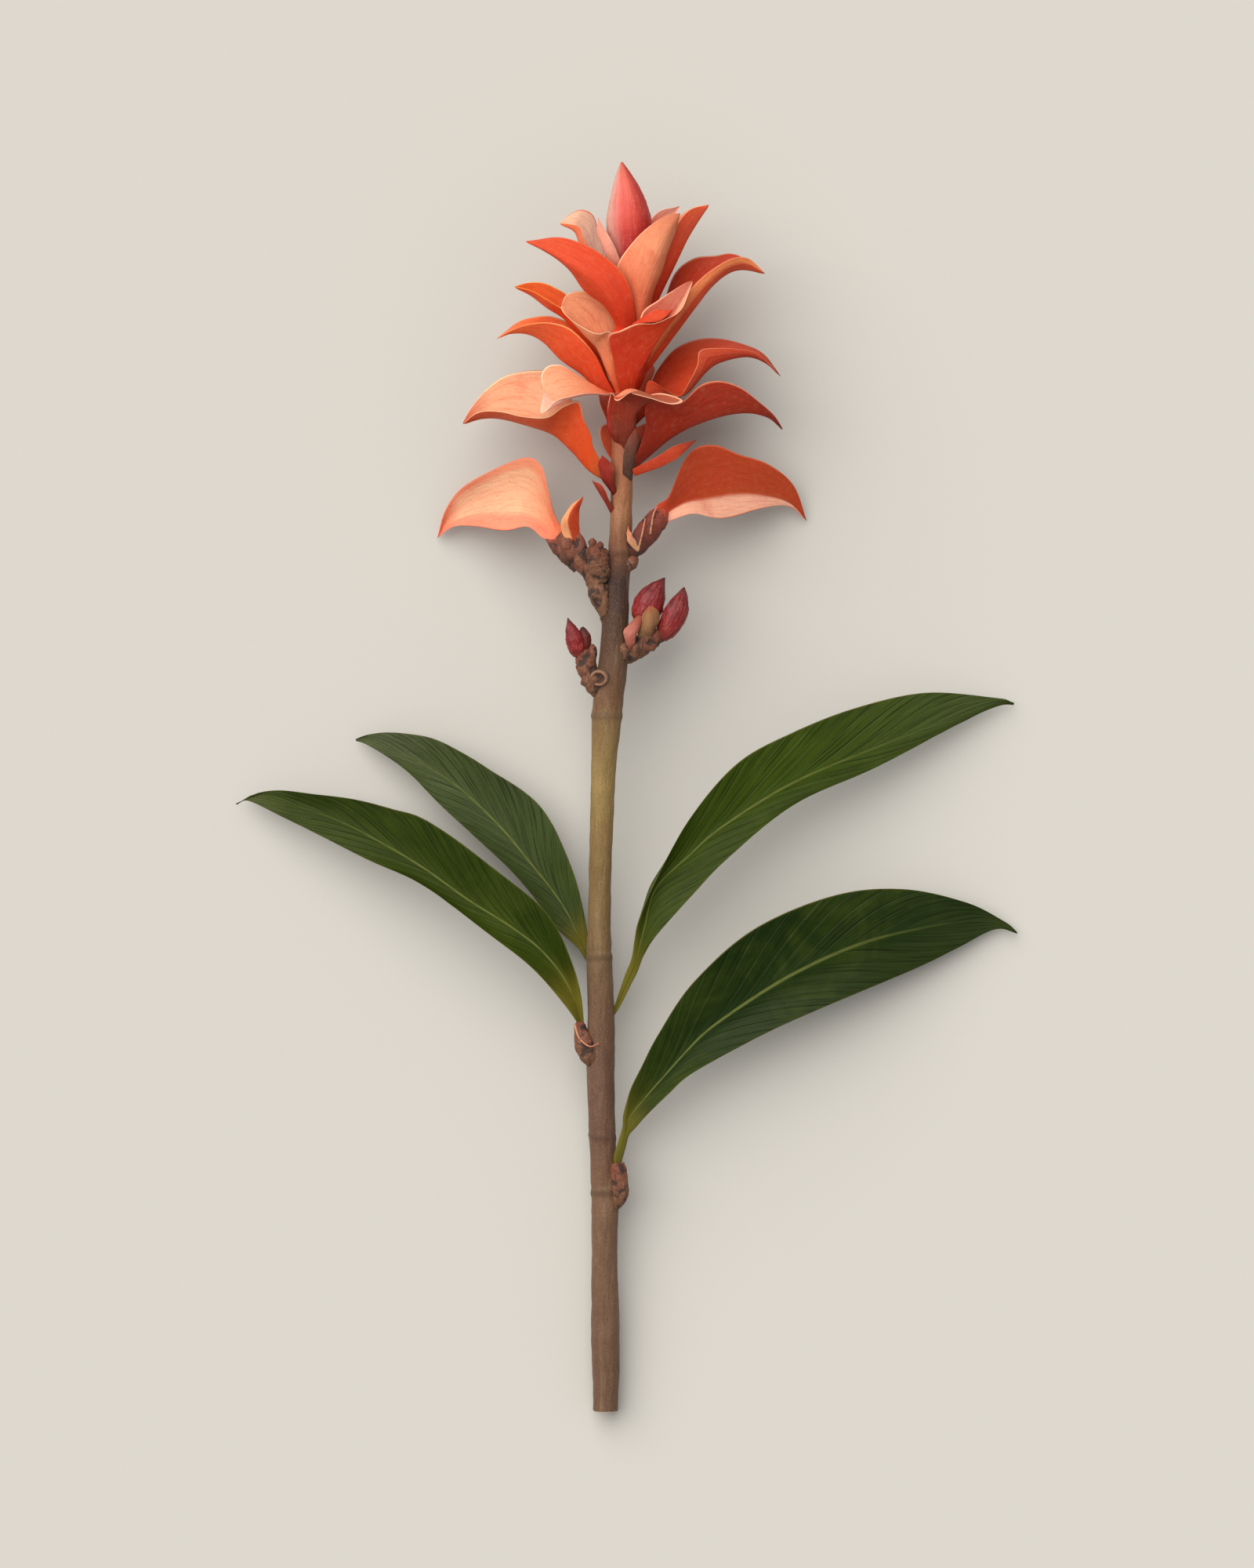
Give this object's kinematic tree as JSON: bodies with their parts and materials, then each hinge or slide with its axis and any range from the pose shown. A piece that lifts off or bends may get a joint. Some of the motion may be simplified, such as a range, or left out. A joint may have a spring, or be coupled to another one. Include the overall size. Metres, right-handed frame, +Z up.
{
  "type": "ginger flower stem",
  "caption": "Cut ginger flower stem: a woody stalk with paired glossy leaves, small side buds and a tiered head of fleshy coral bracts round a pointed bud.",
  "frame": {"origin": "centre of the footprint on the surface the stem lies on", "axes": "+Y along the stem from the cut end to the flower head, +Z up, +X to the right seen from above with the head at the top"},
  "size_m": [0.375, 0.5988, 0.0752],
  "materials": {
    "stem_bark": "matte",
    "leaf_green": "satin",
    "bract_coral": "satin",
    "bract_dark": "satin",
    "bud_pink": "satin",
    "bud_crimson": "satin",
    "shoot_brown": "matte",
    "scale_tan": "matte"
  },
  "bodies": {
    "root": {"main_stem": "stem_bark", "leaf_lower_left": "leaf_green", "leaf_upper_left": "leaf_green", "leaf_upper_right": "leaf_green", "leaf_lower_right": "leaf_green", "leaf_base_left": "shoot_brown", "leaf_base_right": "shoot_brown", "bud_base_right": "shoot_brown", "bud_right_inner": "bud_crimson", "bud_right_outer": "bud_crimson", "bud_scale_tan": "scale_tan", "bud_scale_pink": "scale_tan", "bud_stalk_left": "shoot_brown", "bud_left": "bud_crimson", "bud_left_scale": "bud_crimson", "shoot_left": "shoot_brown", "shoot_right": "shoot_brown", "knob_right": "shoot_brown", "bract_lower_left": "bract_coral", "horn_left": "bract_coral", "bract_lower_right": "bract_coral", "bract_left_4": "bract_coral", "bract_right_4": "bract_dark", "strap_right": "bract_dark", "bract_front": "bract_coral", "bract_left_front": "bract_coral", "bract_left_3": "bract_coral", "bract_right_3": "bract_dark", "bract_right_2": "bract_dark", "bract_left_2": "bract_coral", "bract_cup_left": "bract_coral", "bract_cup_right": "bract_coral", "bract_front_left": "bract_coral", "bract_front_right": "bract_coral", "bract_right_1": "bract_dark", "bract_back_right": "bract_coral", "bract_left_1": "bract_coral", "bract_inner_left": "bract_coral", "centre_bud": "bud_pink", "bract_back_1": "bract_coral", "bract_back_2": "bract_coral", "bract_back_3": "bract_coral", "bract_back_4": "bract_coral", "bract_back_5": "bract_coral", "bract_back_6": "bract_coral", "bract_back_7": "bract_coral", "scale_left_upper": "bract_dark", "scale_left_lower": "bract_dark"}
  },
  "joints": []
}
